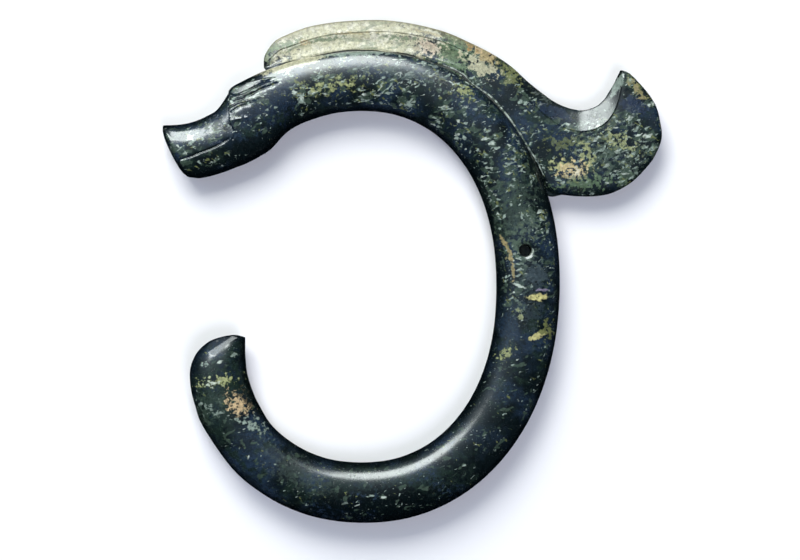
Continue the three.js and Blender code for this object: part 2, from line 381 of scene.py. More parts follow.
def near_strokes(spots):
    """Which spots lie close to a line of the carving."""
    plan = spots[:, :2]
    near = (plan[:, 0] < FACE_END * SHARE) & (plan[:, 1] > 0)
    lines = [line for line, _, _ in FACE_STROKES] + [EYE_TOP, EYE_BOTTOM, CHEEK_FRONT]
    near[near] = np.min([nearest(plan[near], line)[0] for line in lines], axis=0) < STROKE_ZONE
    return near


def carve_face(bm):
    bm.normal_update()
    face = [vert for vert in bm.verts if vert.co.x < FACE_END * SHARE and vert.co.y > 0]
    plan = np.array([vert.co[:2] for vert in face])
    for vert, rise in zip(face, face_relief(plan)):
        vert.co += vert.normal * rise


# The mane and the curl. Strips run along the blade, close together where its surface turns

MANE_SPACING = 1.5
MANE_STRIPS = [3, 6, 8, 14, 10, 3]
MANE_EDGE = 0.9 * MM
MANE_EDGE_ROUND = 0.5 * MM
MANE_RIDGE = 4.8 * MM
MANE_CHANNEL = 3.4 * MM
CHANNEL_END = 0.9
CHANNEL_POWER = 0.8
MANE_ROOT = 5.8 * MM
MANE_ROOT_DEPTH = 6 * MM
CURL_THICKNESS = 7 * MM
CURL_ROUND = 3.4 * MM
FULL_MANE_WIDTH = 50
RIDGE_ZONE = 0.8 * MM
RIM_LINE_INSET = 0.4 * MM
RIM_LINE_WIDTH = 0.36 * MM
RIM_LINE_DEPTH = 0.5 * MM
RIM_LINE_FADE = 2 * MM
LIP_ZONE = 2.4 * MM
LIP_INSET = 1.5 * MM
LIP_WIDTH = 0.6 * MM
LIP_HEIGHT = 0.35 * MM


def blade_half_thickness(distance, width, ridge, curl):
    """Half the blade's thickness at a distance from its rim."""
    edge = MANE_EDGE / 2 * np.sqrt(np.clip(distance / MANE_EDGE_ROUND, 0, 1))
    ridge_half = (MANE_RIDGE + (CURL_THICKNESS - MANE_RIDGE) * curl) / 2
    bevel = edge + (ridge_half - edge) * np.clip(distance / ridge, 0, 1)
    inside = np.clip((distance - ridge) / (width - ridge), 0, 1)
    across = np.clip(inside / CHANNEL_END, 0, 1)
    hollow = (MANE_RIDGE - MANE_CHANNEL) / 2 * np.sin(np.pi * across) ** CHANNEL_POWER
    rise = (MANE_ROOT - MANE_RIDGE) / 2 * inside ** 2
    lip = LIP_HEIGHT * np.exp(-((width - LIP_INSET - distance) / LIP_WIDTH) ** 2)
    blade = ridge_half - hollow + rise + lip
    round_edge = np.minimum(CURL_ROUND, 0.45 * width)
    into_edge = np.clip((distance - width + round_edge) / round_edge, 0, 1)
    lobe = edge + (ridge_half - edge) * np.sqrt(1 - into_edge ** 2)
    inner = blade * (1 - curl) + lobe * curl
    line = np.exp(-((distance - ridge - RIM_LINE_INSET) / RIM_LINE_WIDTH) ** 2)
    fading = np.abs(1 - 2 * curl) ** 2 * np.clip(ridge / RIM_LINE_FADE, 0, 1)
    return np.where(distance < ridge, bevel, inner) - RIM_LINE_DEPTH * line * fading


def blade_distances(width, ridge, rooted, curl):
    """For each blade, the distances from its rim at which the strips of one flank begin and end."""
    zone = np.minimum(RIDGE_ZONE, 0.3 * ridge)
    lip = np.maximum(width - LIP_ZONE - (CURL_ROUND - LIP_ZONE) * curl, ridge + 1.5 * zone)
    stops = np.column_stack([
        0 * width, np.minimum(MANE_EDGE_ROUND, 0.4 * ridge), ridge - zone, ridge + zone,
        np.minimum(lip, 0.99 * width), 0.998 * width, width + MANE_ROOT_DEPTH * rooted])
    counts = np.concatenate([[0], np.cumsum(MANE_STRIPS)])
    strips = np.arange(counts[-1] + 1)
    return np.array([np.interp(strips, counts, row) for row in stops])


def make_mane():
    ribs = np.array(MANE_RIBS)
    places = even_places(ribs, np.full(len(ribs), MANE_SPACING * MM / SHARE), ([0, 1], [2, 3]))
    blades = smooth_curve(ribs, places)
    rim = blades[:, 0:2] * SHARE
    far = blades[:, 2:4] * SHARE
    rooted, curl = np.clip(blades[:, 5], 0, 1), np.clip(blades[:, 6], 0, 1)
    width = np.linalg.norm(far - rim, axis=1)
    inward = (far - rim) / width[:, None]
    ridge = np.minimum(blades[:, 4] * SHARE, 0.45 * width)
    taper = np.minimum(1, np.sqrt(width / (FULL_MANE_WIDTH * SHARE)))
    flank_strips = sum(MANE_STRIPS)
    bm = bmesh.new()
    along, around = grid_points(bm, len(rim) - 1, 2 * flank_strips)
    blade = np.rint(along * (len(rim) - 1)).astype(int)
    strip = np.rint(around * 2 * flank_strips).astype(int)
    side = np.where(strip < flank_strips, 1, -1)
    strip = np.minimum(strip, 2 * flank_strips - strip)
    distance = blade_distances(width, ridge, rooted, curl)[blade, strip]
    half = blade_half_thickness(distance, width[blade], ridge[blade], curl[blade])
    lobe_end = np.where(strip == flank_strips, 1 - rooted[blade], 0)
    half = half * taper[blade] * (1 - lobe_end) * np.where(strip == 0, 0, 1)
    plan = rim[blade] + inward[blade] * distance[:, None]
    place_points(bm, np.column_stack([plan, side * half]))
    close_skin(bm)
    return bm


# Cuts

BORE_PLACE = (223.5, 42)
BORE_SIDES = 64

# The hole's wall from the waist outwards: radius and height above the middle
BORE_PROFILE = [
    (BORE_WAIST / 2, 7 * MM),
    (BORE_WAIST / 2 + 0.2 * MM, 10.6 * MM),
    (BORE_WAIST / 2 + 0.4 * MM, 11.6 * MM),
    (BORE_MOUTH / 2 + 0.1 * MM, 12.1 * MM),
    (BORE_MOUTH / 2 + 0.5 * MM, 12.4 * MM),
    (BORE_MOUTH / 2 + 0.5 * MM, 14 * MM),
]
NOSTRIL_WIDTH = 4 * MM
NOSTRIL_SPACING = 8.5 * MM
NOSTRIL_PLACE = 0.42

# The facets ground on the tail's tip: the edge where each begins, and its tilt in degrees
TAIL_FACETS = [
    ([(-391, -167), (-346, -131)], 23),
    ([(-404, -160), (-364, -132)], 33),
]
TAIL_FACET_RIM = 0.35 * MM
TAIL_FACET_AREA = 4 * MM ** 2
FLANK_FLATNESS = 0.95

# The line along which the mane leaves the body. It is grooved, and along its right stretch it is pale:
# partly wear, partly a painted highlight
BORDER = [
    (-291, 404), (-274, 405), (-254, 413), (-234, 418), (-214, 421), (-184, 429), (-154, 435),
    (-134, 438), (-114, 439), (-74, 438), (-55, 435), (-25, 433), (-1, 428), (31, 416), (55, 410),
    (81, 401), (99, 391), (110, 380), (121, 368), (139, 357), (155, 345), (170, 329), (193, 300),
    (206, 281), (216, 266), (227, 246), (245, 218), (258, 189), (270, 163),
]
WORN_AND_LIT_EDGE = BORDER[14:-1]
WORN_AND_LIT_EDGE_WIDTH = 0.55 * MM
WORN_AND_LIT_EDGE_OFFSET = 0.65 * MM
BORDER_GROOVE = 0.6 * MM
BORDER_HEIGHT = 3.05 * MM
GROOVE_SPACING = 0.8 * MM
GROOVE_SIDES = 12
GROOVE_RUN_OUT = 6


def make_bore():
    """The hole: nearly straight inside, and flared to the mouths on both flanks."""
    bm = bmesh.new()
    waist = bmesh.ops.create_circle(bm, cap_ends=False, segments=BORE_SIDES, radius=BORE_WAIST / 2)["verts"]
    for side in (1, -1):
        ring = waist
        for radius, height in BORE_PROFILE:
            edges = [edge for edge in bm.edges if all(vert in ring for vert in edge.verts)]
            grown = bmesh.ops.extrude_edge_only(bm, edges=edges)["geom"]
            growth = radius / ring[0].co.xy.length
            step = side * height - ring[0].co.z
            ring = [item for item in grown if isinstance(item, bmesh.types.BMVert)]
            bmesh.ops.scale(bm, vec=(growth, growth, 1), verts=ring)
            bmesh.ops.translate(bm, vec=(0, 0, step), verts=ring)
    bmesh.ops.holes_fill(bm, edges=bm.edges)
    bmesh.ops.translate(bm, vec=(BORE_PLACE[0] * SHARE, BORE_PLACE[1] * SHARE, 0), verts=bm.verts)
    bmesh.ops.recalc_face_normals(bm, faces=bm.faces)
    return bm


def make_nostril(side):
    """A ball that hollows one nostril into the front of the nose."""
    back = Vector(HEAD_RIBS[0][0:2]) * SHARE
    belly = Vector(HEAD_RIBS[0][2:4]) * SHARE
    forward = Vector((belly.y - back.y, back.x - belly.x)).normalized()
    place = back.lerp(belly, NOSTRIL_PLACE) + forward * NOSE_BULGE
    bm = bmesh.new()
    bmesh.ops.create_uvsphere(bm, u_segments=28, v_segments=18, radius=NOSTRIL_WIDTH / 2)
    bmesh.ops.translate(bm, vec=(place.x, place.y, side * NOSTRIL_SPACING / 2), verts=bm.verts)
    return bm


def make_groove(line, radius, height, offset=0):
    """A thin round tool that follows a line at one height, pointed at both ends, a little to its left."""
    places = even_places(np.array(line), np.full(len(line), GROOVE_SPACING / SHARE), ([0, 1],))
    path = smooth_curve(line, places) * SHARE
    heading = np.gradient(path, axis=0)
    heading /= np.linalg.norm(heading, axis=1)[:, None]
    sideways = np.column_stack([-heading[:, 1], heading[:, 0]])
    ends = np.minimum(np.arange(len(path)), np.arange(len(path))[::-1])
    radii = radius * np.sqrt(np.clip((ends + 0.2) / GROOVE_RUN_OUT, 0, 1))
    bm = bmesh.new()
    along, around = grid_points(bm, len(path) - 1, GROOVE_SIDES)
    ring = np.rint(along * (len(path) - 1)).astype(int)
    across = radii[ring] * np.cos(2 * np.pi * around) + offset
    up = radii[ring] * np.sin(2 * np.pi * around)
    place_points(bm, np.column_stack([path[ring] + sideways[ring] * across[:, None], height + up]))
    close_skin(bm)
    return bm


def surface_height(piece, place, side):
    """The height of a piece's surface at a place, on its upper or its lower side."""
    hit, spot, _, _ = piece.ray_cast(Vector((place[0], place[1], side)), Vector((0, 0, -side)))
    return spot.z if hit else 0


def make_tail_facet(piece, side, edge, tilt):
    """A block that grinds one slanting facet between the flank and the tip of the tail."""
    ends = [Vector(point) * SHARE for point in edge]
    ends = [Vector((end.x, end.y, surface_height(piece, end, side))) for end in ends]
    along = (ends[1] - ends[0]).normalized()
    outward = Vector((-along.y, along.x, 0)).normalized()
    tilt = math.radians(tilt)
    normal = outward * math.sin(tilt) + Vector((0, 0, side * math.cos(tilt)))
    normal = (normal - along * normal.dot(along)).normalized()
    size = BODY_THICKNESS
    bm = bmesh.new()
    bmesh.ops.create_cube(bm, size=size)
    bmesh.ops.translate(bm, vec=(0, size / 2, size / 2), verts=bm.verts)
    turn = Matrix((along, normal.cross(along), normal)).transposed()
    if turn.determinant() < 0:
        turn = Matrix((-along, normal.cross(along), normal)).transposed()
    bmesh.ops.rotate(bm, cent=(0, 0, 0), matrix=turn, verts=bm.verts)
    bmesh.ops.translate(bm, vec=(ends[0] + ends[1]) / 2, verts=bm.verts)
    bmesh.ops.recalc_face_normals(bm, faces=bm.faces)
    return bm


def flatten_tail_facets(bm):
    """Keeps the shading of the ground facets flat, but for a narrow rim."""
    first_edge, _ = TAIL_FACETS[0]
    inner_end = first_edge[1][0] * SHARE
    facets = [
        face for face in bm.faces if face.calc_area() > TAIL_FACET_AREA
        and face.normal.z ** 2 < FLANK_FLATNESS and face.calc_center_median().x < inner_end]
    bmesh.ops.inset_individual(bm, faces=facets, thickness=TAIL_FACET_RIM, use_even_offset=True)


def cut_rest_flat(bm):
    """Grinds the lower flank flat where the dragon lies."""
    everything = list(bm.verts) + list(bm.edges) + list(bm.faces)
    cut = bmesh.ops.bisect_plane(
        bm, geom=everything, plane_co=(0, 0, REST_FLAT_DEPTH - BODY_THICKNESS / 2), plane_no=(0, 0, -1),
        clear_outer=True)
    rims = [item for item in cut["geom_cut"] if isinstance(item, bmesh.types.BMEdge)]
    bmesh.ops.holes_fill(bm, edges=rims)


# Putting the carving together

SHARP_ANGLE = math.radians(35)
FACE_SHARP_ANGLE = math.radians(85)


def new_piece(name, bm, materials, finish):
    """Makes a piece of a mesh, all of it in one finish."""
    for face in bm.faces:
        face.material_index = finish
    mesh = bpy.data.meshes.new(name)
    bm.to_mesh(mesh)
    bm.free()
    for material in materials:
        mesh.materials.append(material)
    piece = bpy.data.objects.new(name, mesh)
    bpy.context.scene.collection.objects.link(piece)
    return piece


def combine(piece, other, operation):
    """Joins another mesh to a piece or cuts it away, and removes it."""
    modifier = piece.modifiers.new("combine", "BOOLEAN")
    modifier.operation = operation
    modifier.solver = "MANIFOLD"
    modifier.object = other
    shown = piece.evaluated_get(bpy.context.evaluated_depsgraph_get())
    mesh = bpy.data.meshes.new_from_object(shown)
    piece.modifiers.clear()
    piece.data = mesh
    bpy.data.objects.remove(other)


def mark_sharp_edges(bm):
    for face in bm.faces:
        face.smooth = True
    for edge in bm.edges:
        spot = edge.verts[0].co
        of_body = edge.link_faces[0].material_index == BODY_FINISH
        on_face = of_body and spot.x < FACE_END * SHARE and spot.y > 0
        edge.smooth = edge.calc_face_angle(0) < (FACE_SHARP_ANGLE if on_face else SHARP_ANGLE)


def make_dragon(materials):
    dragon = new_piece("jade_dragon_carving", make_body(), materials, BODY_FINISH)
    combine(dragon, new_piece("mane", make_mane(), materials, MANE_FINISH), "UNION")
    for side in (1, -1):
        # The pale edge beside the groove: partly wear, partly a painted highlight on its ridge
        wear_and_sheen = make_groove(WORN_AND_LIT_EDGE, WORN_AND_LIT_EDGE_WIDTH, side * BORDER_HEIGHT, WORN_AND_LIT_EDGE_OFFSET)
        combine(dragon, new_piece("worn_and_lit_edge", wear_and_sheen, materials, EDGE_FINISH), "DIFFERENCE")
        groove = make_groove(BORDER, BORDER_GROOVE, side * BORDER_HEIGHT)
        combine(dragon, new_piece("border_groove", groove, materials, CUT_FINISH), "DIFFERENCE")
        combine(dragon, new_piece("nostril", make_nostril(side), materials, CUT_FINISH), "DIFFERENCE")
        for edge, tilt in TAIL_FACETS:
            facet = make_tail_facet(dragon, side, edge, tilt)
            combine(dragon, new_piece("tail_facet", facet, materials, BODY_FINISH), "DIFFERENCE")
    combine(dragon, new_piece("bore", make_bore(), materials, BODY_FINISH), "DIFFERENCE")
    bm = bmesh.new()
    bm.from_mesh(dragon.data)
    cut_rest_flat(bm)
    flatten_tail_facets(bm)
    spots = np.array([vert.co for vert in bm.verts])
    low, high = spots.min(0), spots.max(0)
    shift = (Vector(dragon_low) + Vector(dragon_high)) / 2 - Vector((low + high) / 2)
    shift.z = dragon_low.z - low[2]
    bmesh.ops.translate(bm, vec=shift, verts=bm.verts)
    mark_sharp_edges(bm)
    bm.to_mesh(dragon.data)
    bm.free()
    return dragon


# Stage

LENS = 120
SENSOR = 36
PICTURE_WIDTH = 0.4146
CAMERA_DISTANCE = PICTURE_WIDTH * LENS / SENSOR
FLOOR_SIZE = 6
FLOOR_COLOUR = (0.9, 0.9, 0.91, 1)

# The photo's frame is centred a little off the dragon
PICTURE_MIDDLE = (-0.0064, -0.0045)


def make_camera():
    camera = bpy.data.cameras.new("camera")
    camera.lens = LENS
    camera.sensor_width = SENSOR
    camera.clip_end = 20
    spot = bpy.data.objects.new("camera", camera)
    spot.location = (PICTURE_MIDDLE[0], PICTURE_MIDDLE[1], MIDDLE_Z + CAMERA_DISTANCE)
    bpy.context.scene.collection.objects.link(spot)
    bpy.context.scene.camera = spot


def make_floor(material):
    bm = bmesh.new()
    bmesh.ops.create_grid(bm, x_segments=1, y_segments=1, size=FLOOR_SIZE / 2)
    floor = new_piece("floor", bm, [material], 0)
    floor.visible_glossy = False


def make_softbox(name, azimuth, zenith, distance, size, power, colour):
    """A square light that faces the dragon. Azimuth is counted clockwise from the top of the picture."""
    light = bpy.data.lights.new(name, "AREA")
    light.shape = "RECTANGLE"
    light.size, light.size_y = size
    light.energy = power
    light.color = colour
    lamp = bpy.data.objects.new(name, light)
    away = Vector((
        math.sin(math.radians(azimuth)) * math.sin(math.radians(zenith)),
        math.cos(math.radians(azimuth)) * math.sin(math.radians(zenith)),
        math.cos(math.radians(zenith))))
    lamp.location = away * distance
    lamp.rotation_euler = away.to_track_quat("Z", "Y").to_euler()
    bpy.context.scene.collection.objects.link(lamp)
    return lamp


def make_lights():
    """The key lamp gives only the gloss, the side lamp light and shadow, and the fill softens that."""
    key = make_softbox(
        "key", azimuth=-21, zenith=44, distance=1.6, size=(1.22, 0.85), power=46, colour=(0.93, 1, 0.98))
    key.visible_diffuse = False
    side = make_softbox(
        "side", azimuth=-19, zenith=45, distance=1.6, size=(1, 1), power=30, colour=(1, 0.99, 0.95))
    side.visible_glossy = False
    fill = make_softbox(
        "fill", azimuth=150, zenith=31, distance=2.5, size=(1.4, 1.4), power=35, colour=(0.83, 0.85, 1))
    fill.visible_glossy = False


# Materials

def add(tree, kind, inputs=(), **settings):
    """Adds a node with its settings, and with a value or a link on each of the sockets named."""
    node = tree.nodes.new(kind)
    for name, value in settings.items():
        setattr(node, name, value)
    for socket, value in dict(inputs).items():
        if isinstance(value, bpy.types.NodeSocket):
            tree.links.new(value, node.inputs[socket])
        else:
            node.inputs[socket].default_value = value
    return node


def math_step(tree, operation, first, second):
    return add(tree, "ShaderNodeMath", {0: first, 1: second}, operation=operation).outputs[0]


def vector_step(tree, operation, inputs, output="Vector"):
    return add(tree, "ShaderNodeVectorMath", inputs, operation=operation).outputs[output]


def smooth_step(tree, value, start, end):
    """0 before start, 1 past end, and a smooth step between."""
    inputs = {"Value": value, "From Min": start, "From Max": end}
    return add(tree, "ShaderNodeMapRange", inputs, interpolation_type="SMOOTHSTEP").outputs["Result"]


def noise(tree, place, scale, detail=2.0, roughness=0.5, output="Fac"):
    inputs = {"Vector": place, "Scale": scale, "Detail": detail, "Roughness": roughness}
    return add(tree, "ShaderNodeTexNoise", inputs).outputs[output]


def blend(tree, mask, first, second):
    node = add(tree, "ShaderNodeMix", {0: mask, 6: first, 7: second}, data_type="RGBA")
    return node.outputs[2]


def new_group(name, inputs, outputs):
    """A node group with its sockets. Returns the group, its inputs and its output node."""
    group = bpy.data.node_groups.new(name, "ShaderNodeTree")
    for label, kind in inputs:
        group.interface.new_socket(label, in_out="INPUT", socket_type="NodeSocket" + kind)
    for label, kind in outputs:
        group.interface.new_socket(label, in_out="OUTPUT", socket_type="NodeSocket" + kind)
    return group, group.nodes.new("NodeGroupInput").outputs, group.nodes.new("NodeGroupOutput").inputs


def ragged_place_group():
    """Shakes a place about, so that what is drawn at it gets ragged edges."""
    group, given, result = new_group(
        "ragged_place", [("Place", "Vector"), ("Reach", "Float")], [("Place", "Vector")])
    place = given["Place"]
    for scale, part in ((110, 1.0), (420, 0.55)):
        colour = noise(group, given["Place"], scale, 3.0, 0.6, "Color")
        centred = vector_step(group, "SUBTRACT", {0: colour, 1: (0.5, 0.5, 0.5)})
        reach = math_step(group, "MULTIPLY", given["Reach"], part)
        shake = vector_step(group, "SCALE", {0: centred, "Scale": reach})
        place = vector_step(group, "ADD", {0: place, 1: shake})
    group.links.new(place, result["Place"])
    return group


# A patch's edge, as a share of its reach: where its colour begins, and where it is full
PATCH_EDGE = (1.12, 0.88)


def patch_group():
    """The mask of an oval patch in the stone."""
    sockets = [
        ("Place", "Vector"), ("Middle", "Vector"), ("Reach", "Vector"),
        ("Turn", "Float"), ("Frayed", "Float")]
    group, given, result = new_group("stone_patch", sockets, [("Mask", "Float")])
    inputs = {
        "Vector": given["Place"], "Location": given["Middle"], "Scale": given["Reach"],
        "Rotation": add(group, "ShaderNodeCombineXYZ", {"Z": given["Turn"]}).outputs[0]}
    inside = add(group, "ShaderNodeMapping", inputs, vector_type="TEXTURE").outputs[0]
    distance = vector_step(group, "LENGTH", {0: inside}, "Value")
    distance = math_step(group, "ADD", distance, given["Frayed"])
    group.links.new(smooth_step(group, distance, *PATCH_EDGE), result["Mask"])
    return group


FLECK_SOFTNESS = 0.07


def flecks_group():
    """The mask of small flecks that lie along one direction. A higher limit leaves fewer of them."""
    sockets = [
        ("Place", "Vector"), ("Turn", "Float"), ("Length", "Float"), ("Grain", "Float"), ("Limit", "Float")]
    group, given, result = new_group("stone_flecks", sockets, [("Mask", "Float")])
    turn = add(group, "ShaderNodeCombineXYZ", {"Z": given["Turn"]}).outputs[0]
    size = add(group, "ShaderNodeCombineXYZ", {"X": given["Length"], "Y": 1.0, "Z": 1.0}).outputs[0]
    inputs = {"Vector": given["Place"], "Rotation": turn, "Scale": size}
    along = add(group, "ShaderNodeMapping", inputs, vector_type="TEXTURE").outputs[0]
    grain = add(group, "ShaderNodeTexNoise", {
        "Vector": along, "Scale": given["Grain"], "Detail": 1.5, "Roughness": 0.5, "Distortion": 0.5})
    full = math_step(group, "ADD", given["Limit"], FLECK_SOFTNESS)
    group.links.new(smooth_step(group, grain.outputs["Fac"], given["Limit"], full), result["Mask"])
    return group


# The polish. The heights are shares of its depth
POLISH_DEPTH = 0.12 * MM
SCRATCH_TURN = (0, 0, 0.6)
SCRATCH_STRETCH = (9, 1, 1)
SCRATCH_HEIGHT = 0.25
WAVE_HEIGHT = 1.6
WAVE_ROUGHNESS = 0.16
PIT_DEPTH = 0.7
PIT_ROUGHNESS = 0.2


def polish_group():
    """The polish: fine scratches, pits and a faint unevenness, as a height and as a roughness."""
    group, given, result = new_group(
        "hand_polish", [("Place", "Vector"), ("Roughness", "Float")],
        [("Height", "Float"), ("Roughness", "Float")])
    inputs = {"Vector": given["Place"], "Rotation": SCRATCH_TURN, "Scale": SCRATCH_STRETCH}
    stretched = add(group, "ShaderNodeMapping", inputs, vector_type="TEXTURE").outputs[0]
    scratches = noise(group, stretched, 1900, 2.0, 0.6)
    waves = noise(group, given["Place"], 130, 2.0, 0.5)
    pits = smooth_step(group, noise(group, given["Place"], 900, 2.0, 0.6), 0.36, 0.3)
    height = math_step(group, "MULTIPLY", scratches, SCRATCH_HEIGHT)
    height = math_step(group, "ADD", height, math_step(group, "MULTIPLY", waves, WAVE_HEIGHT))
    height = math_step(group, "SUBTRACT", height, math_step(group, "MULTIPLY", pits, PIT_DEPTH))
    group.links.new(height, result["Height"])
    rough = math_step(group, "ADD", given["Roughness"], math_step(group, "MULTIPLY", pits, PIT_ROUGHNESS))
    shift = math_step(group, "MULTIPLY", math_step(group, "SUBTRACT", waves, 0.5), WAVE_ROUGHNESS)
    group.links.new(math_step(group, "ADD", rough, shift), result["Roughness"])
    return group


JADE_IOR = 1.61
RAGGED_REACH = 2.6 * MM
PATCH_DEPTH = 40 * MM

# The mottling: what the darkest and the palest grains of the stone multiply its colour by
MOTTLING = (0.45, 1.4)


class Stone:
    """One finish of the stone: its node tree, its colour so far and the places that its patterns read."""

    def __init__(self, name, groups, colour):
        self.material = bpy.data.materials.new(name)
        self.material.use_nodes = True
        self.tree = self.material.node_tree
        self.shader = self.tree.nodes["Principled BSDF"]
        self.groups = groups
        self.colour = colour
        self.place = add(self.tree, "ShaderNodeTexCoord").outputs["Object"]
        self.ragged = self.use("ragged", {"Place": self.place, "Reach": RAGGED_REACH}, "Place")
        self.fray = math_step(self.tree, "SUBTRACT", noise(self.tree, self.place, 430, 4.0, 0.65), 0.46)

    def use(self, group, inputs, output):
        return add(self.tree, "ShaderNodeGroup", inputs, node_tree=self.groups[group]).outputs[output]

    def patch(self, middle, reach, turn=0, fraying=1.0):
        """The mask of a patch; middle and reach are in thousandths of the height, turn in degrees."""
        inputs = {
            "Place": self.ragged, "Middle": (middle[0] * SHARE, middle[1] * SHARE, 0),
            "Reach": (reach[0] * SHARE, reach[1] * SHARE, PATCH_DEPTH), "Turn": math.radians(turn),
            "Frayed": math_step(self.tree, "MULTIPLY", self.fray, fraying)}
        return self.use("patch", inputs, "Mask")

    def flecks(self, turn, length, grain, limit):
        inputs = {
            "Place": self.place, "Turn": math.radians(turn), "Length": length,
            "Grain": grain, "Limit": limit}
        return self.use("flecks", inputs, "Mask")

    def paint(self, mask, colour, strength=1.0):
        """Lays a colour over the stone where a mask says."""
        if strength < 1:
            mask = math_step(self.tree, "MULTIPLY", mask, strength)
        self.colour = blend(self.tree, mask, self.colour, colour)

    def finish(self, roughness, bump):
        """Mottles the colour, polishes the stone and gives its material."""
        grain = noise(self.tree, self.place, 620, 4.0, 0.7)
        inputs = {
            "Value": grain, "From Min": 0.3, "From Max": 0.7, "To Min": MOTTLING[0], "To Max": MOTTLING[1]}
        shade = add(self.tree, "ShaderNodeMapRange", inputs).outputs["Result"]
        self.colour = vector_step(self.tree, "SCALE", {0: self.colour, "Scale": shade})
        height = self.use("polish", {"Place": self.place, "Roughness": roughness}, "Height")
        polish = height.node.outputs["Roughness"]
        self.tree.links.new(self.colour, self.shader.inputs["Base Color"])
        self.tree.links.new(polish, self.shader.inputs["Roughness"])
        self.shader.inputs["IOR"].default_value = JADE_IOR
        inputs = {"Height": height, "Strength": bump, "Distance": POLISH_DEPTH}
        uneven = add(self.tree, "ShaderNodeBump", inputs)
        self.tree.links.new(uneven.outputs["Normal"], self.shader.inputs["Normal"])
        return self.material


# Near black, for painted shade on the body's sides and on the bottom arc's lower half
SHADE_BLACK = (0.0012, 0.0032, 0.0046, 1)
BLACK_GREEN = (0.0038, 0.0078, 0.0090, 1)
DEEP_GREEN = (0.012, 0.024, 0.018, 1)
SLATE_BLUE = (0.014, 0.027, 0.047, 1)
GREY_GREEN = (0.075, 0.105, 0.085, 1)
GREEN_HAZE = (0.042, 0.066, 0.048, 1)
DEEP_BLUE = (0.020, 0.032, 0.062, 1)
WARM_CREAM = (0.52, 0.43, 0.22, 1)
SMOKE_BLUE = (0.045, 0.065, 0.075, 1)
HEAD_BLUE = (0.009, 0.018, 0.034, 1)
PALE_FLECK_AND_HIGHLIGHT = (0.27, 0.34, 0.29, 1)
WHITE_FLECK_AND_HIGHLIGHT = (0.46, 0.53, 0.46, 1)
OLIVE = (0.13, 0.15, 0.055, 1)
YELLOW_GREEN = (0.33, 0.36, 0.17, 1)
YELLOW = (0.50, 0.47, 0.20, 1)
TAN = (0.30, 0.25, 0.12, 1)
PEACH = (0.52, 0.39, 0.22, 1)
CREAM = (0.44, 0.43, 0.29, 1)
PALE_CREAM = (0.60, 0.59, 0.47, 1)
PINK_CREAM = (0.52, 0.42, 0.31, 1)
MOSS = (0.100, 0.155, 0.085, 1)
RUST = (0.36, 0.21, 0.07, 1)
RIM_SHADE = (0.19, 0.18, 0.10, 1)
LILAC = (0.20, 0.18, 0.25, 1)
GROOVE_BROWN = (0.035, 0.033, 0.022, 1)


def dark_stone(stone):
    """The ground of the dark jade: black green, slate blue and deep green, in soft clouds."""
    tree = stone.tree
    clouds = noise(tree, stone.place, 45, 3.0, 0.6)
    drift = noise(tree, stone.place, 120, 4.0, 0.6)
    stone.paint(smooth_step(tree, clouds, 0.42, 0.62), SLATE_BLUE)
    stone.paint(smooth_step(tree, drift, 0.5, 0.64), DEEP_GREEN, 0.8)


# The layers of flecks: the way they lie, their length and grain, the limits where the stone has few and
# many of them, and their colour
FLECK_LAYERS = [
    (25, 1.5, 300, 0.70, 0.48, GREEN_HAZE),
    (12, 2.0, 430, 0.76, 0.59, PALE_FLECK_AND_HIGHLIGHT),
    (-30, 1.8, 520, 0.76, 0.60, OLIVE),
    (30, 1.7, 660, 0.76, 0.595, PALE_FLECK_AND_HIGHLIGHT),
    (15, 2.0, 430, 0.78, 0.62, WHITE_FLECK_AND_HIGHLIGHT),
]
FLECK_STRENGTH = 0.9
CLUSTER_SCALE = 85
CLUSTER_LIMITS = (0.32, 0.6)


def fleck_layers(stone, share, rich):
    """Pale flecks in clusters. Their share varies over the stone, and the rich places are full of them."""
    tree = stone.tree
    clusters = noise(tree, stone.place, CLUSTER_SCALE, 3.0, 0.6)
    crowd = math_step(tree, "MULTIPLY", smooth_step(tree, clusters, *CLUSTER_LIMITS), share)
    crowd = math_step(tree, "MAXIMUM", crowd, rich)
    for turn, length, grain, few, many, colour in FLECK_LAYERS:
        limit = add(tree, "ShaderNodeMapRange", {"Value": crowd, "To Min": few, "To Max": many})
        flecks = stone.flecks(turn, length, grain, limit.outputs["Result"])
        stone.paint(flecks, colour, FLECK_STRENGTH)


def off_middle(stone):
    """How far each place of the stone lies above or below the dragon's middle plane."""
    height = add(stone.tree, "ShaderNodeSeparateXYZ", {0: stone.place}).outputs["Z"]
    above = math_step(stone.tree, "SUBTRACT", height, MIDDLE_Z)
    return add(stone.tree, "ShaderNodeMath", {0: above}, operation="ABSOLUTE").outputs[0]


def paint_patches(stone, patches):
    for middle, reach, turn, fraying, colour, strength in patches:
        stone.paint(stone.patch(middle, reach, turn, fraying), colour, strength)


# Places that are full of flecks: middle and reach in thousandths of the height, turn in degrees, and
# fraying of the edge
RICH_PLACES = [
    ((-18, 384), (118, 32), -8, 4),
    ((-392, 285), (30, 34), 0, 3),
    ((-444, 249), (34, 13), 12, 3),
]
CURL_RICH_PLACE = ((388, 236), (84, 62), -10, 4)

